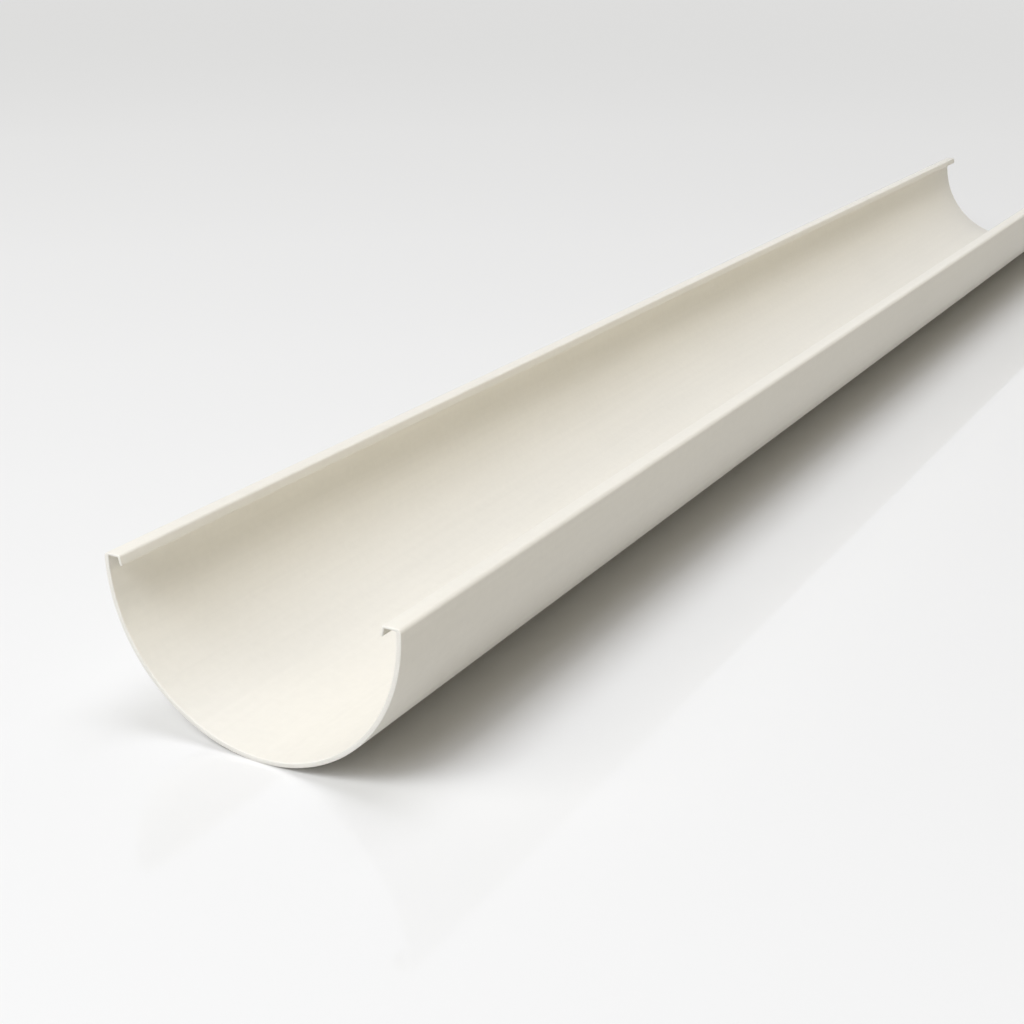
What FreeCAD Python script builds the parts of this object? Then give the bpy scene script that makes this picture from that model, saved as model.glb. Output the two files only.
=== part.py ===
# Half-round PVC gutter, one extruded length, sawn square at both ends.
#
# Frame, in millimetres: the gutter runs along Y and opens upwards (+Z). The origin is at mid-length,
# on the lowest line of the round outside. X is across the gutter, and both sides are the same.

import FreeCAD, Part
import math
import os

import Sketcher

EDGE_TOLERANCE = 1e-4  # mm, how near an edge must lie to the corner it is picked by

DIMENSIONS = [
    # alias, value, what it is
    ("gutter_length", 1000.0, "sold length, mm"),
    ("overall_width", 120.0, "over the outside of the two walls, mm"),
    ("upright_height", 2.75, "straight wall above the half circle, mm"),
    ("wall_thickness", 1.8, "trough and uprights, mm"),
    ("lip_thickness", 0.9, "shelf and leg of the lip, mm"),
    ("lip_reach", 6.8, "shelf of the lip, from the outside of the wall inwards, mm"),
    ("lip_drop", 3.8, "rim down to the tip of the leg, mm"),
    ("leg_lean", 12.0, "leg of the lip, from upright towards the channel, degrees"),
    ("rim_radius", 1.6, "outer corner of the rim, mm"),
    ("nose_radius", 1.0, "corner between the shelf and the channel side of the leg, mm"),
    ("root_radius", 0.3, "the two corners inside the lip, mm"),
]

# Constraints of the section that take their size from the spreadsheet.
DRIVEN = {
    "OutsideRadius": "Dimensions.overall_width / 2",
    "UprightHeight": "Dimensions.upright_height",
    "WallThickness": "Dimensions.wall_thickness",
    "ShelfThickness": "Dimensions.lip_thickness",
    "LegThickness": "Dimensions.lip_thickness",
    "LipReach": "Dimensions.lip_reach",
    "TipCentreDrop": "Dimensions.lip_drop - Dimensions.lip_thickness / 2",
    "LegLean": "Dimensions.leg_lean * 1 deg",
}


def make_spreadsheet(doc):
    """Keep every driving dimension in one sheet, with an alias for each."""
    sheet = doc.addObject("Spreadsheet::Sheet", "Dimensions")
    for row, (alias, value, note) in enumerate(DIMENSIONS, start=1):
        sheet.set(f"A{row}", alias)
        sheet.set(f"B{row}", str(value))
        sheet.set(f"C{row}", note)
        sheet.setAlias(f"B{row}", alias)
    doc.recompute()
    return sheet


def origin_plane(body, role):
    """One of the body's own origin planes."""
    return next(feature for feature in body.Origin.OriginFeatures if feature.Role == role)


def draw_half_section(body, sheet):
    """Right half of the section: x across the gutter, y up, with the root point at the lowest line."""
    sketch = body.newObject("Sketcher::SketchObject", "HalfSection")
    sketch.AttachmentSupport = [(origin_plane(body, "XZ_Plane"), "")]
    sketch.MapMode = "FlatFace"

    outside = sheet.overall_width / 2
    inside = outside - sheet.wall_thickness
    rim = outside + sheet.upright_height
    shelf_underside = rim - sheet.lip_thickness
    lean = math.radians(sheet.leg_lean)
    leg_top_x = outside - sheet.lip_reach
    tip_centre_y = rim - sheet.lip_drop + sheet.lip_thickness / 2
    tip_radius = sheet.lip_thickness / 2
    leg_shift_y = tip_radius * math.sin(lean)

    def point(x, y):
        return FreeCAD.Vector(x, y, 0)

    def channel_side(y):
        return point(leg_top_x - (rim - y) * math.tan(lean), y)

    def hidden_side(y):
        return channel_side(y) + point(sheet.lip_thickness / math.cos(lean), 0)

    centre = point(0, outside)
    up = point(0, 0) + FreeCAD.Vector(0, 0, 1)
    tip_start = channel_side(tip_centre_y + leg_shift_y)
    tip_end = hidden_side(tip_centre_y - leg_shift_y)
    tip_centre = (tip_start + tip_end) / 2

    trough = sketch.addGeometry(
        Part.ArcOfCircle(Part.Circle(centre, up, outside), 1.5 * math.pi, 2 * math.pi))
    upright = sketch.addGeometry(Part.LineSegment(point(outside, outside), point(outside, rim)))
    shelf = sketch.addGeometry(Part.LineSegment(point(outside, rim), point(leg_top_x, rim)))
    leg_channel = sketch.addGeometry(Part.LineSegment(point(leg_top_x, rim), tip_start))
    tip = sketch.addGeometry(
        Part.ArcOfCircle(Part.Circle(tip_centre, up, tip_radius), math.pi - lean, 2 * math.pi - lean))
    leg_hidden = sketch.addGeometry(Part.LineSegment(tip_end, hidden_side(shelf_underside)))
    underside = sketch.addGeometry(
        Part.LineSegment(hidden_side(shelf_underside), point(inside, shelf_underside)))
    inner_upright = sketch.addGeometry(
        Part.LineSegment(point(inside, shelf_underside), point(inside, outside)))
    channel = sketch.addGeometry(
        Part.ArcOfCircle(Part.Circle(centre, up, inside), 1.5 * math.pi, 2 * math.pi))
    middle = sketch.addGeometry(Part.LineSegment(point(0, outside - inside), point(0, 0)))

    start, end, mid = 1, 2, 3
    root, vertical_axis = -1, -2

    def constrain(*arguments, name=None):
        index = sketch.addConstraint(Sketcher.Constraint(*arguments))
        if name:
            sketch.renameConstraint(index, name)
            sketch.setExpression(f"Constraints.{name}", DRIVEN[name])

    # Closed outline, corner by corner.
    constrain("Coincident", trough, start, root, 1)
    constrain("Coincident", trough, end, upright, start)
    constrain("Coincident", upright, end, shelf, start)
    constrain("Coincident", shelf, end, leg_channel, start)
    constrain("Tangent", leg_channel, end, tip, start)
    constrain("Tangent", tip, end, leg_hidden, start)
    constrain("Coincident", leg_hidden, end, underside, start)
    constrain("Coincident", underside, end, inner_upright, start)
    constrain("Coincident", inner_upright, end, channel, end)
    constrain("Coincident", channel, start, middle, start)
    constrain("Coincident", middle, end, root, 1)

    # Half circles about one centre, uprights and shelf square to each other.
    constrain("PointOnObject", trough, mid, vertical_axis)
    constrain("Coincident", channel, mid, trough, mid)
    constrain("Horizontal", trough, mid, trough, end)
    constrain("Horizontal", channel, mid, channel, end)
    constrain("PointOnObject", channel, start, vertical_axis)
    constrain("Vertical", upright)
    constrain("Vertical", inner_upright)
    constrain("Horizontal", shelf)
    constrain("Horizontal", underside)
    constrain("Parallel", leg_channel, leg_hidden)

    # Driving sizes.
    constrain("Radius", trough, outside, name="OutsideRadius")
    constrain("DistanceY", upright, start, upright, end, sheet.upright_height, name="UprightHeight")
    constrain("DistanceX", channel, end, trough, end, sheet.wall_thickness, name="WallThickness")
    constrain("DistanceY", underside, end, shelf, start, sheet.lip_thickness, name="ShelfThickness")
    constrain("Distance", leg_hidden, start, leg_channel, sheet.lip_thickness, name="LegThickness")
    constrain("DistanceX", shelf, end, shelf, start, sheet.lip_reach, name="LipReach")
    constrain("DistanceY", tip, mid, shelf, start, rim - tip_centre_y, name="TipCentreDrop")
    constrain("Angle", leg_channel, end, vertical_axis, 1, lean, name="LegLean")

    corners = {
        "rim": sketch.getPoint(shelf, start),
        "nose": sketch.getPoint(shelf, end),
        "leg root": sketch.getPoint(underside, start),
        "wall root": sketch.getPoint(underside, end),
    }
    return sketch, corners


def extrude_half(body, sketch):
    """Half the gutter, as long on either side of the section plane."""
    pad = body.newObject("PartDesign::Pad", "HalfGutter")
    pad.Profile = sketch
    pad.SideType = "Symmetric"
    pad.setExpression("Length", "Dimensions.gutter_length")
    pad.Document.recompute()
    return pad


def lengthwise_edge(shape, corner):
    """Name of the edge that runs the length of the gutter from one corner of its section."""
    for number, edge in enumerate(shape.Edges, start=1):
        if all(math.hypot(end.X - corner.x, end.Z - corner.y) < EDGE_TOLERANCE for end in edge.Vertexes):
            return f"Edge{number}"
    raise RuntimeError(f"no lengthwise edge at x {corner.x:.2f}, z {corner.y:.2f}")


def round_edges(body, base, name, corners, radius_alias):
    """Round some lengthwise edges to one radius from the sheet."""
    fillet = body.newObject("PartDesign::Fillet", name)
    fillet.Base = (base, [lengthwise_edge(base.Shape, corner) for corner in corners])
    fillet.setExpression("Radius", f"Dimensions.{radius_alias}")
    fillet.Document.recompute()
    return fillet


def mirror_half(body):
    """The left half, as the right one across the middle of the gutter."""
    mirrored = body.newObject("PartDesign::Mirrored", "BothHalves")
    mirrored.TransformMode = "Whole shape"
    mirrored.MirrorPlane = (origin_plane(body, "YZ_Plane"), [""])
    mirrored.Refine = True
    body.Tip = mirrored
    return mirrored


def make_gutter(doc, sheet):
    """The whole gutter: its section, its length and the rounded corners of its lips."""
    body = doc.addObject("PartDesign::Body", "Gutter")
    body.Label = "gutter_profile"
    sketch, corners = draw_half_section(body, sheet)
    half = extrude_half(body, sketch)
    rounded = round_edges(body, half, "RimCorner", [corners["rim"]], "rim_radius")
    rounded = round_edges(body, rounded, "NoseCorner", [corners["nose"]], "nose_radius")
    inner_corners = [corners["leg root"], corners["wall root"]]
    round_edges(body, rounded, "RootCorners", inner_corners, "root_radius")
    mirror_half(body)
    doc.recompute()
    if not sketch.FullyConstrained:
        raise RuntimeError("the section is not fully constrained")
    return body


def check(doc, bodies):
    """Stop if anything in the document failed to build."""
    for item in doc.Objects:
        if "Invalid" in item.State or "Error" in item.State:
            raise RuntimeError(f"{item.Label} failed: {item.State}")
    for body in bodies:
        if body.Shape.isNull() or not body.Shape.isValid() or len(body.Shape.Solids) != 1:
            raise RuntimeError(f"{body.Label} is not one valid solid")


def main():
    doc = FreeCAD.newDocument("HalfRoundGutter")
    sheet = make_spreadsheet(doc)
    bodies = [make_gutter(doc, sheet)]
    check(doc, bodies)
    os.makedirs("parts", exist_ok=True)
    for body in bodies:
        body.Shape.exportStep(f"parts/{body.Label}.step")
        box = body.Shape.BoundBox
        print(f"{body.Label}: {box.XLength:.2f} x {box.YLength:.2f} x {box.ZLength:.2f} mm,"
              f" volume {body.Shape.Volume:.0f} mm3, {len(body.Shape.Faces)} faces")


main()
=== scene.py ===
import math

import bmesh
import bpy
from mathutils import Matrix, Vector


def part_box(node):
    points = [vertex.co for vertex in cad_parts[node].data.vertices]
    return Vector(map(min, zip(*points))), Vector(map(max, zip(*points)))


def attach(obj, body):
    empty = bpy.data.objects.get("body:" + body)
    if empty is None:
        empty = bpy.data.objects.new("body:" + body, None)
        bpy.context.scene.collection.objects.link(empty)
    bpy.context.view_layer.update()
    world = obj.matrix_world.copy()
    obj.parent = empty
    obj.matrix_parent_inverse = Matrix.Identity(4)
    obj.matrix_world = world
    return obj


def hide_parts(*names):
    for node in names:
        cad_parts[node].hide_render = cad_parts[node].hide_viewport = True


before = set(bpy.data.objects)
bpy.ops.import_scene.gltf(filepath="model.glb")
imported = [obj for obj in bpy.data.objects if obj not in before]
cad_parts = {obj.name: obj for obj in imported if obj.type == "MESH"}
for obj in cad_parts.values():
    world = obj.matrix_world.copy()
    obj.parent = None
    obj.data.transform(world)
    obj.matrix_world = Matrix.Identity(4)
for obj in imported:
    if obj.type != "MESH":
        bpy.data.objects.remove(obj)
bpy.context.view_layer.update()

mm = 0.001


def addNode(tree, kind, place, **settings):
    node = tree.nodes.new(kind)
    node.location = place
    for name, value in settings.items():
        setattr(node, name, value)
    return node


def join(tree, source, target):
    tree.links.new(source, target)


def feed(tree, value, socket):
    # a number or a colour is set on the socket, and another node's output is joined to it
    if isinstance(value, (int, float, tuple)):
        socket.default_value = value
    else:
        join(tree, value, socket)


def setValues(node, **values):
    # underscores stand for the spaces in a socket's name
    for name, value in values.items():
        node.inputs[name.replace("_", " ")].default_value = value


def newGroup(name, inputs, outputs):
    group = bpy.data.node_groups.new(name, "ShaderNodeTree")
    for label, kind, value in inputs:
        socket = group.interface.new_socket(label, in_out="INPUT", socket_type=kind)
        socket.default_value = value
    for label, kind in outputs:
        group.interface.new_socket(label, in_out="OUTPUT", socket_type=kind)
    start = addNode(group, "NodeGroupInput", (-1000, 0))
    end = addNode(group, "NodeGroupOutput", (600, 0))
    return group, start, end


def placeGroup(tree, group, place, **values):
    node = addNode(tree, "ShaderNodeGroup", place, node_tree=group)
    setValues(node, **values)
    return node


def math2(tree, operation, first, second, place):
    node = addNode(tree, "ShaderNodeMath", place, operation=operation)
    for socket, value in zip(node.inputs, (first, second)):
        feed(tree, value, socket)
    return node.outputs["Value"]


def mixColour(tree, factor, first, second, place):
    node = addNode(tree, "ShaderNodeMix", place, data_type="RGBA")
    # the node has sockets of one name for each kind of value, so those for colours go by number
    for number, value in ((0, factor), (6, first), (7, second)):
        feed(tree, value, node.inputs[number])
    return node.outputs[2]


def seenAsIs(tree, place):
    # 1 where a surface is looked at, straight or in gloss or through glass, and 0 where it only gives light
    ray = addNode(tree, "ShaderNodeLightPath", place)
    seen = ray.outputs["Is Camera Ray"]
    for step, kind in enumerate(("Is Glossy Ray", "Is Transmission Ray"), start=1):
        seen = math2(tree, "MAXIMUM", seen, ray.outputs[kind], (place[0] + 220 * step, place[1]))
    return seen


def newMaterial(name):
    material = bpy.data.materials.new(name)
    material.use_nodes = True
    tree = material.node_tree
    return material, tree, tree.nodes["Principled BSDF"]


def newPiece(name, bm):
    mesh = bpy.data.meshes.new(name)
    bm.to_mesh(mesh)
    bm.free()
    piece = bpy.data.objects.new(name, mesh)
    bpy.context.collection.objects.link(piece)
    return piece


def fineGrainGroup():
    # surface of the plastic, from fine to broad: pebble, orange peel and cloud, each about 0.5 on average
    group, start, end = newGroup(
        "fineGrain",
        [("Vector", "NodeSocketVector", (0, 0, 0)),
         ("Pebble Scale", "NodeSocketFloat", 1400.0),
         ("Peel Scale", "NodeSocketFloat", 320.0),
         ("Cloud Scale", "NodeSocketFloat", 9.0)],
        [("Pebble", "NodeSocketFloat"), ("Peel", "NodeSocketFloat"), ("Cloud", "NodeSocketFloat")])
    for label, height in (("Pebble", 300), ("Peel", 0), ("Cloud", -300)):
        noise = addNode(group, "ShaderNodeTexNoise", (-600, height))
        setValues(noise, Detail=2.0, Roughness=0.55)
        join(group, start.outputs["Vector"], noise.inputs["Vector"])
        join(group, start.outputs[label + " Scale"], noise.inputs["Scale"])
        join(group, noise.outputs["Fac"], end.inputs[label])
    return group


def toneGroup():
    # makes a colour a little lighter or darker where a mask is over or under 0.5
    group, start, end = newGroup(
        "tone",
        [("Color", "NodeSocketColor", (1, 1, 1, 1)),
         ("Mask", "NodeSocketFloat", 0.5),
         ("Amount", "NodeSocketFloat", 0.03)],
        [("Color", "NodeSocketColor")])
    offset = math2(group, "SUBTRACT", start.outputs["Mask"], 0.5, (-700, -100))
    swing = math2(group, "MULTIPLY", offset, start.outputs["Amount"], (-500, -100))
    factor = math2(group, "ADD", swing, 1.0, (-300, -100))
    scaled = addNode(group, "ShaderNodeVectorMath", (0, 0), operation="SCALE")
    join(group, start.outputs["Color"], scaled.inputs[0])
    join(group, factor, scaled.inputs["Scale"])
    join(group, scaled.outputs[0], end.inputs["Color"])
    return group


grainGroup = fineGrainGroup()
toneShift = toneGroup()


def layerTones(tree, colour, layers):
    # the colour through one tone group for each mask, with how much that mask may change it
    shade = colour
    for step, (mask, amount) in enumerate(layers):
        layer = placeGroup(tree, toneShift, (-1000 + 220 * step, 500), Amount=amount)
        feed(tree, shade, layer.inputs["Color"])
        join(tree, mask, layer.inputs["Mask"])
        shade = layer.outputs["Color"]
    return shade


def layerRelief(tree, layers):
    # one bump over another, each a height and how deep it goes
    relief = None
    for step, (height, depth) in enumerate(layers):
        layer = addNode(tree, "ShaderNodeBump", (-800 + 220 * step, -700))
        setValues(layer, Distance=depth)
        join(tree, height, layer.inputs["Height"])
        if relief:
            join(tree, relief, layer.inputs["Normal"])
        relief = layer.outputs["Normal"]
    return relief


skin = {
    "colour": (0.847, 0.819, 0.751, 1),  # cream
    "ior": 1.5,
    "roughness": 0.42,
    "roughnessSwing": 0.14,  # between the smoothest and the roughest die line
    "pebbleScale": 1400.0,  # lumps a metre, and so are the next three
    "peelScale": 320.0,
    "cloudScale": 9.0,
    "streakScale": 420.0,  # across the section
    "streakStretch": 0.012,  # along the gutter, as a share of that
    "cloudTone": 0.06,  # tones are shares of the colour
    "peelTone": 0.05,
    "streakTone": 0.06,
    "pebbleDepth": 0.006 * mm,
    "peelDepth": 0.020 * mm,
    "streakDepth": 0.014 * mm,
    "handledTone": -0.04,  # rim a little soiled and polished by handling
    "handledPolish": 0.10,
    "handledHeight": 0.9 * mm,  # how far below the rim that reaches
}


def skinMaterial(rimHeight):
    material, tree, shader = newMaterial("creamExtrudedSkin")
    setValues(shader, IOR=skin["ior"])

    where = addNode(tree, "ShaderNodeTexCoord", (-1900, 0))
    grain = placeGroup(tree, grainGroup, (-1400, 300), Pebble_Scale=skin["pebbleScale"],
                       Peel_Scale=skin["peelScale"], Cloud_Scale=skin["cloudScale"])
    join(tree, where.outputs["Object"], grain.inputs["Vector"])

    # die lines: noise drawn out along the gutter
    drawn = addNode(tree, "ShaderNodeMapping", (-1650, -100))
    setValues(drawn, Scale=(1.0, skin["streakStretch"], 1.0))
    join(tree, where.outputs["Object"], drawn.inputs["Vector"])
    streak = addNode(tree, "ShaderNodeTexNoise", (-1400, -100))
    setValues(streak, Scale=skin["streakScale"], Detail=4.0, Roughness=0.6)
    join(tree, drawn.outputs["Vector"], streak.inputs["Vector"])

    # rim touched by handling and stacking, more in some places than in others
    split = addNode(tree, "ShaderNodeSeparateXYZ", (-1400, -450))
    join(tree, where.outputs["Object"], split.inputs["Vector"])
    handled = addNode(tree, "ShaderNodeMapRange", (-1150, -450), clamp=True)
    setValues(handled, From_Min=rimHeight - skin["handledHeight"], From_Max=rimHeight)
    join(tree, split.outputs["Z"], handled.inputs["Value"])
    touched = math2(tree, "MULTIPLY", handled.outputs["Result"], grain.outputs["Cloud"], (-900, -450))
    touchedMask = math2(tree, "ADD", touched, 0.5, (-700, -450))  # 0.5 leaves the colour alone

    shade = layerTones(tree, skin["colour"], (
        (grain.outputs["Cloud"], skin["cloudTone"]),
        (grain.outputs["Peel"], skin["peelTone"]),
        (streak.outputs["Fac"], skin["streakTone"]),
        (touchedMask, skin["handledTone"])))
    join(tree, shade, shader.inputs["Base Color"])

    gloss = addNode(tree, "ShaderNodeMapRange", (-600, -150))
    setValues(gloss, To_Min=skin["roughness"] - skin["roughnessSwing"] / 2,
              To_Max=skin["roughness"] + skin["roughnessSwing"] / 2)
    join(tree, streak.outputs["Fac"], gloss.inputs["Value"])
    polish = math2(tree, "MULTIPLY", touched, skin["handledPolish"], (-500, -250))
    polished = math2(tree, "SUBTRACT", gloss.outputs["Result"], polish, (-300, -150))
    join(tree, polished, shader.inputs["Roughness"])

    relief = layerRelief(tree, (
        (grain.outputs["Pebble"], skin["pebbleDepth"]),
        (grain.outputs["Peel"], skin["peelDepth"]),
        (streak.outputs["Fac"], skin["streakDepth"])))
    join(tree, relief, shader.inputs["Normal"])
    return material


sawn = {
    "colour": (0.890, 0.866, 0.808, 1),  # paler where it is freshly cut, and paler still as painted light on the end faces
    "ior": 1.5,
    "roughness": 0.58,
    "pebbleScale": 2200.0,
    "cloudScale": 60.0,
    "cloudTone": 0.02,
    "markTone": 0.035,
    "markPitch": 0.55 * mm,
    "markDepth": 0.013 * mm,
    "markWander": 3.0,
    "markTurn": 12.0,  # degrees that the blade's path leans from level
    "pebbleDepth": 0.008 * mm,
    "bandLength": 0.314,  # metres from band to band in a wave texture of scale 1
}


def sawnMaterial():
    material, tree, shader = newMaterial("sawnPlastic")
    setValues(shader, IOR=sawn["ior"], Roughness=sawn["roughness"])

    where = addNode(tree, "ShaderNodeTexCoord", (-1900, 0))
    grain = placeGroup(tree, grainGroup, (-1400, 300), Pebble_Scale=sawn["pebbleScale"],
                       Cloud_Scale=sawn["cloudScale"])
    join(tree, where.outputs["Object"], grain.inputs["Vector"])

    # saw marks: level bands, a little turned and wavering
    turned = addNode(tree, "ShaderNodeMapping", (-1650, -100))
    setValues(turned, Rotation=(0, math.radians(sawn["markTurn"]), 0))
    join(tree, where.outputs["Object"], turned.inputs["Vector"])
    marks = addNode(tree, "ShaderNodeTexWave", (-1400, -100), wave_type="BANDS", bands_direction="Z")
    setValues(marks, Scale=sawn["bandLength"] / sawn["markPitch"], Distortion=sawn["markWander"],
              Detail=3.0, Detail_Scale=2.0)
    join(tree, turned.outputs["Vector"], marks.inputs["Vector"])

    shade = layerTones(tree, sawn["colour"], (
        (grain.outputs["Cloud"], sawn["cloudTone"]),
        (marks.outputs["Fac"], sawn["markTone"])))
    join(tree, shade, shader.inputs["Base Color"])

    relief = layerRelief(tree, (
        (grain.outputs["Pebble"], sawn["pebbleDepth"]),
        (marks.outputs["Fac"], sawn["markDepth"])))
    join(tree, relief, shader.inputs["Normal"])
    return material


gutter = {
    "node": "gutter_profile",
    "slot": "cream_pvc",
    "wall": 1.8 * mm,
    "lipThickness": 0.9 * mm,
    "lipReach": 6.8 * mm,  # outside of the wall to the nose
    "lipDrop": 3.8 * mm,  # rim to the tip of the leg
    "legLean": 12.0,  # degrees from upright, towards the channel
    "rimRadius": 1.6 * mm,
    "noseRadius": 1.0 * mm,
    "rootRadius": 0.3 * mm,
    "sawnEdge": 0.30 * mm,  # sharp edge taken off both cut ends
    "sawnEdgeSteps": 3,
    "sawnReach": 1.5,  # how far in from the end the sawn finish goes, as a share of that edge
    "troughSteps": 72,  # in a quarter circle
    "cornerSteps": 8,
    "lengthCuts": 23,
    "sharpAngle": 35.0,  # degrees between faces, past which their edge is drawn sharp
    "mergeDistance": 0.001 * mm,
}


def drawStraight(bm, vert, x, z):
    grown = bmesh.ops.extrude_vert_indiv(bm, verts=[vert])["verts"][0]
    bmesh.ops.translate(bm, verts=[grown], vec=Vector((x, vert.co.y, z)) - vert.co)
    return grown


def drawArc(bm, vert, centreX, centreZ, degrees, steps):
    # counter-clockwise as seen from the front, where X runs right and Z up
    turned = bmesh.ops.spin(
        bm, geom=[vert], cent=(centreX, vert.co.y, centreZ), axis=(0, -1, 0),
        angle=math.radians(degrees), steps=steps, use_merge=False, use_duplicate=False)
    return next(item for item in turned["geom_last"] if isinstance(item, bmesh.types.BMVert))


def drawHalfSection(bm, front, radius, rim):
    # the right half's outline, from the lowest line of the outside round to that of the inside
    wall, lip = gutter["wall"], gutter["lipThickness"]
    lean = math.radians(gutter["legLean"])
    rimRadius, noseRadius, rootRadius = gutter["rimRadius"], gutter["noseRadius"], gutter["rootRadius"]
    bend = 90 - gutter["legLean"]  # turn from the shelf into the leg
    reachIn = math.tan(math.radians(bend / 2))  # corner to tangent point, for a radius of one
    underside = rim - lip
    corners, trough = gutter["cornerSteps"], gutter["troughSteps"]

    noseX = radius - gutter["lipReach"]
    tipZ = rim - gutter["lipDrop"] + lip / 2
    tipX = noseX - (rim - tipZ) * math.tan(lean) + lip / 2 / math.cos(lean)
    rootX = noseX - lip * math.tan(lean) + lip / math.cos(lean)

    vert = bm.verts.new((0, front, 0))
    vert = drawArc(bm, vert, 0, radius, 90, trough)
    vert = drawStraight(bm, vert, radius, rim - rimRadius)
    vert = drawArc(bm, vert, radius - rimRadius, rim - rimRadius, 90, corners)
    noseCentreX = noseX + noseRadius * reachIn
    vert = drawStraight(bm, vert, noseCentreX, rim)
    vert = drawArc(bm, vert, noseCentreX, rim - noseRadius, bend, corners)
    vert = drawStraight(bm, vert, tipX - lip / 2 * math.cos(lean), tipZ + lip / 2 * math.sin(lean))
    vert = drawArc(bm, vert, tipX, tipZ, 180, 2 * corners)
    rootCentreX = rootX + rootRadius * reachIn
    vert = drawStraight(bm, vert, rootCentreX - rootRadius * math.cos(lean),
                        underside - rootRadius + rootRadius * math.sin(lean))
    vert = drawArc(bm, vert, rootCentreX, underside - rootRadius, -bend, corners)
    innerX = radius - wall
    vert = drawStraight(bm, vert, innerX - rootRadius, underside)
    vert = drawArc(bm, vert, innerX - rootRadius, underside - rootRadius, -90, corners)
    vert = drawStraight(bm, vert, innerX, radius)
    drawArc(bm, vert, 0, radius, -90, trough)


def spanAlong(edge):
    return abs(edge.verts[0].co.y - edge.verts[1].co.y)


def pullToLength(bm, length):
    # one face fills the section, and its copy goes to the far end
    bmesh.ops.contextual_create(bm, geom=bm.edges[:])
    pulled = bmesh.ops.extrude_face_region(bm, geom=bm.faces[:], use_keep_orig=True)
    farEnd = [item for item in pulled["geom"] if isinstance(item, bmesh.types.BMVert)]
    bmesh.ops.translate(bm, verts=farEnd, vec=(0, length, 0))
    bmesh.ops.recalc_face_normals(bm, faces=bm.faces[:])


def breakSawnEdges(bm, front, back):
    endEdges = [edge for edge in bm.edges if spanAlong(edge) < gutter["mergeDistance"]]
    bmesh.ops.bevel(bm, geom=endEdges, offset=gutter["sawnEdge"], offset_type="OFFSET", affect="EDGES",
                    segments=gutter["sawnEdgeSteps"], profile=0.5, material=-1)
    reach = gutter["sawnEdge"] * gutter["sawnReach"]
    for face in bm.faces:
        middle = face.calc_center_median()
        face.material_index = int(middle.y < front + reach or middle.y > back - reach)
    lengthwise = [edge for edge in bm.edges if spanAlong(edge) > reach]
    bmesh.ops.subdivide_edges(bm, edges=lengthwise, cuts=gutter["lengthCuts"], use_grid_fill=True)


def smoothRounds(bm):
    for face in bm.faces:
        face.smooth = True
    for edge in bm.edges:
        edge.smooth = edge.calc_face_angle(0) < math.radians(gutter["sharpAngle"])


def buildGutter():
    low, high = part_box(gutter["node"])
    radius, rim = (high.x - low.x) / 2, high.z
    front, back = low.y, high.y
    merge = gutter["mergeDistance"]

    bm = bmesh.new()
    drawHalfSection(bm, front, radius, rim)
    bmesh.ops.mirror(bm, geom=bm.verts[:] + bm.edges[:], matrix=Matrix(), axis="X", merge_dist=merge)
    bmesh.ops.remove_doubles(bm, verts=bm.verts, dist=merge)
    pullToLength(bm, back - front)
    breakSawnEdges(bm, front, back)
    smoothRounds(bm)

    piece = newPiece("gutter", bm)
    piece.data.materials.append(skinMaterial(rim))
    piece.data.materials.append(sawnMaterial())
    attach(piece, "root")
    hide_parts(gutter["node"])
    print("gutter built,", len(piece.data.polygons), "faces")
    return piece


gutterPiece = buildGutter()


studio = {
    "floorColour": (0.90, 0.90, 0.90, 1),
    "floorBounce": (0.65, 0.65, 0.65, 1),  # colour by which it throws light back on the gutter
    "floorRoughness": 0.05,
    "floorIor": 1.45,
    "floorSize": 60.0,
    "floorFadeStart": 4.0,  # metres out where the floor starts to fade into the backdrop
    "floorFadeEnd": 9.0,
    "ambientStrength": 0.191,
    "ambientColour": (1.0, 0.932, 0.757, 1),
    "backdropStrength": 0.885,
    "backdropColour": (1, 1, 1, 1),
    "lampDistance": 4.0,  # metres from the middle of the gutter, at this height:
    "aimHeight": 0.03,
    "sheenShare": 0.5,  # gloss that a softbox puts on the gutter, as a share of its light
}

# softboxes, by the direction of each from the middle of the gutter: azimuth in degrees from the
# front, round to the right, then elevation; width and height in metres
softboxes = {
    "overheadSoftbox": {"azimuth": 150, "elevation": 84, "width": 2.3, "height": 2.3,
                        "watts": 53.7, "colour": (0.919, 0.932, 1.0)},
    "frontSoftbox": {"azimuth": -5.5, "elevation": 48, "width": 1.3, "height": 1.3,
                     "watts": 60.6, "colour": (0.932, 0.965, 1.0)},
    "lowFrontSoftbox": {"azimuth": 3.5, "elevation": 35, "width": 1.3, "height": 1.3,
                        "watts": 25.5, "colour": (0.934, 0.943, 1.0)},
    "frontLeftSoftbox": {"azimuth": -30, "elevation": 41, "width": 1.6, "height": 1.6,
                         "watts": 28.1, "colour": (1.0, 0.982, 0.952)},
}

# fills light the gutter alone, so that the floor keeps its shadow
fills = {
    "rightFill": {"azimuth": 90, "elevation": 24, "width": 1.9, "height": 1.28,
                  "watts": 24.5, "colour": (1.0, 0.93, 0.76)},
}


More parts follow.
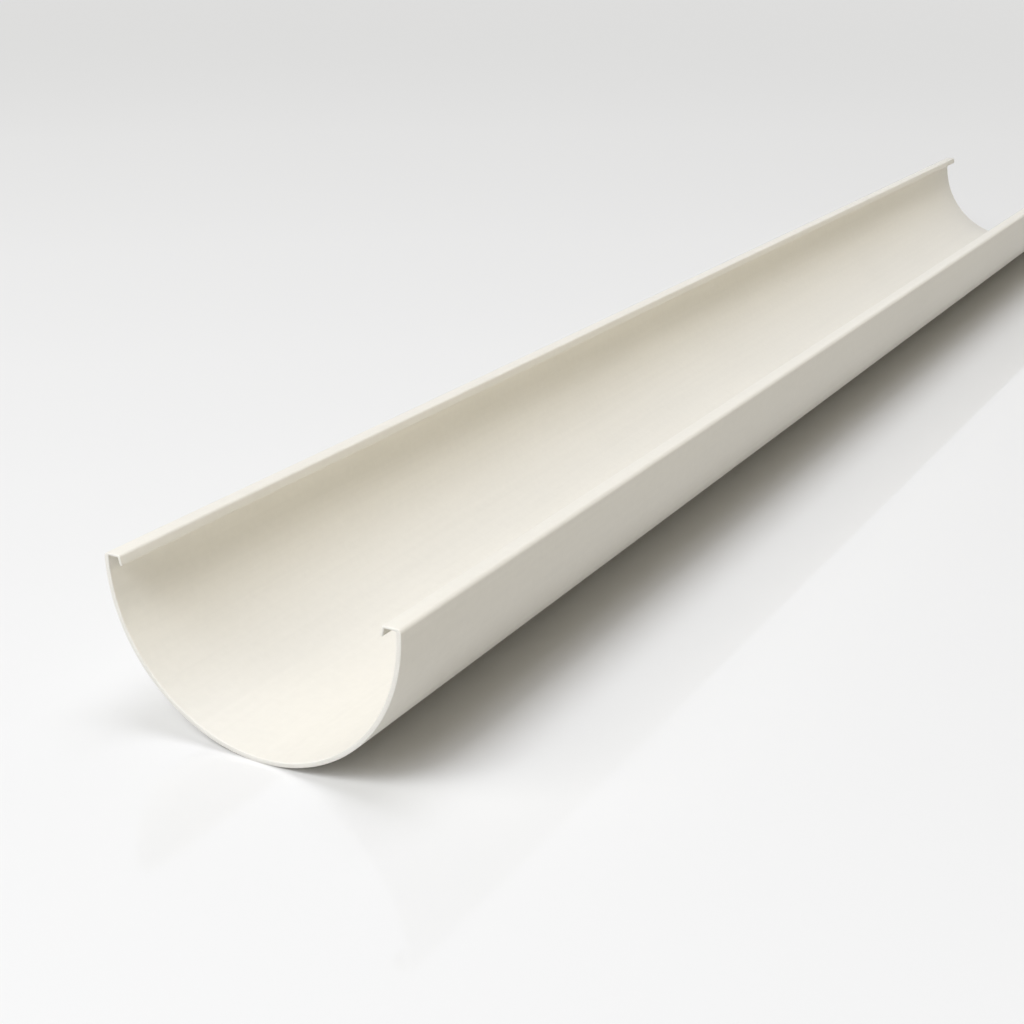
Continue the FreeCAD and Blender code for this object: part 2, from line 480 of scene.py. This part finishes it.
def floorMaterial():
    material, tree, shader = newMaterial("studioFloor")
    setValues(shader, Roughness=studio["floorRoughness"], IOR=studio["floorIor"])
    shade = mixColour(tree, seenAsIs(tree, (-900, 0)), studio["floorBounce"], studio["floorColour"],
                      (-300, 0))
    join(tree, shade, shader.inputs["Base Color"])

    # far out the floor turns into backdrop, so that no horizon shows
    where = addNode(tree, "ShaderNodeTexCoord", (-900, -300))
    outward = addNode(tree, "ShaderNodeVectorMath", (-700, -300), operation="LENGTH")
    join(tree, where.outputs["Object"], outward.inputs[0])
    fade = addNode(tree, "ShaderNodeMapRange", (-450, -300), interpolation_type="SMOOTHSTEP")
    setValues(fade, From_Min=studio["floorFadeStart"], From_Max=studio["floorFadeEnd"])
    join(tree, outward.outputs["Value"], fade.inputs["Value"])
    glow = addNode(tree, "ShaderNodeEmission", (0, -300))
    setValues(glow, Color=studio["backdropColour"], Strength=studio["backdropStrength"])
    blend = addNode(tree, "ShaderNodeMixShader", (300, 0))
    layers = (fade.outputs["Result"], shader.outputs["BSDF"], glow.outputs["Emission"])
    for source, socket in zip(layers, blend.inputs):
        join(tree, source, socket)
    join(tree, blend.outputs["Shader"], tree.nodes["Material Output"].inputs["Surface"])
    return material


def buildFloor():
    bm = bmesh.new()
    bmesh.ops.create_grid(bm, x_segments=1, y_segments=1, size=studio["floorSize"] / 2)
    floor = newPiece("floor", bm)
    floor.data.materials.append(floorMaterial())
    print("floor laid")


def hangSoftbox(name, box, share=1.0):
    lamp = bpy.data.lights.new(name, "AREA")
    lamp.shape = "RECTANGLE"
    lamp.size, lamp.size_y = box["width"], box["height"]
    lamp.energy = box["watts"] * share
    lamp.color = box["colour"]
    around, up = math.radians(box["azimuth"]), math.radians(box["elevation"])
    towards = Vector((math.sin(around) * math.cos(up), -math.cos(around) * math.cos(up), math.sin(up)))
    holder = bpy.data.objects.new(name, lamp)
    holder.location = towards * studio["lampDistance"] + Vector((0, 0, studio["aimHeight"]))
    holder.rotation_euler = towards.to_track_quat("Z", "Y").to_euler()
    bpy.context.collection.objects.link(holder)
    return holder


def lightBackdrop():
    world = bpy.data.worlds.new("softAmbient")
    bpy.context.scene.world = world
    world.use_nodes = True
    tree = world.node_tree
    background = tree.nodes["Background"]
    seen = seenAsIs(tree, (-900, 0))
    strength = addNode(tree, "ShaderNodeMapRange", (-250, 0))
    setValues(strength, To_Min=studio["ambientStrength"], To_Max=studio["backdropStrength"])
    join(tree, seen, strength.inputs["Value"])
    join(tree, strength.outputs["Result"], background.inputs["Strength"])
    tint = mixColour(tree, seen, studio["ambientColour"], studio["backdropColour"], (-250, 250))
    join(tree, tint, background.inputs["Color"])


def hangLights(piece):
    onlyGutter = bpy.data.collections.new("onlyGutter")
    onlyGutter.objects.link(piece)
    for name, box in softboxes.items():
        hangSoftbox(name, box).visible_glossy = False
        # its gloss is a lamp of its own, so that the floor doesn't mirror the softbox
        sheen = hangSoftbox(name + "Sheen", box, studio["sheenShare"])
        sheen.visible_diffuse = False
        sheen.light_linking.receiver_collection = onlyGutter
    for name, box in fills.items():
        hangSoftbox(name, box).light_linking.receiver_collection = onlyGutter
    print("studio lit by", len(softboxes), "softboxes and", len(fills), "fills")


camera = {
    "place": (0.30204, -0.84705, 0.26588),
    "azimuth": 30.378,  # degrees that it turns left from looking straight along the gutter
    "elevation": 21.377,  # degrees that it looks down
    "lens": 54.88,  # millimetres, as the sensor's width
    "sensor": 36.0,
    "clip": (0.01, 100.0),
}


def placeCamera():
    data = bpy.data.cameras.new("camera")
    data.lens = camera["lens"]
    data.sensor_width = camera["sensor"]
    data.clip_start, data.clip_end = camera["clip"]
    eye = bpy.data.objects.new("camera", data)
    eye.location = camera["place"]
    eye.rotation_euler = (math.radians(90 - camera["elevation"]), 0, math.radians(camera["azimuth"]))
    bpy.context.collection.objects.link(eye)
    scene = bpy.context.scene
    scene.camera = eye
    scene.view_settings.view_transform = "Standard"
    print("camera placed")


buildFloor()
lightBackdrop()
hangLights(gutterPiece)
placeCamera()
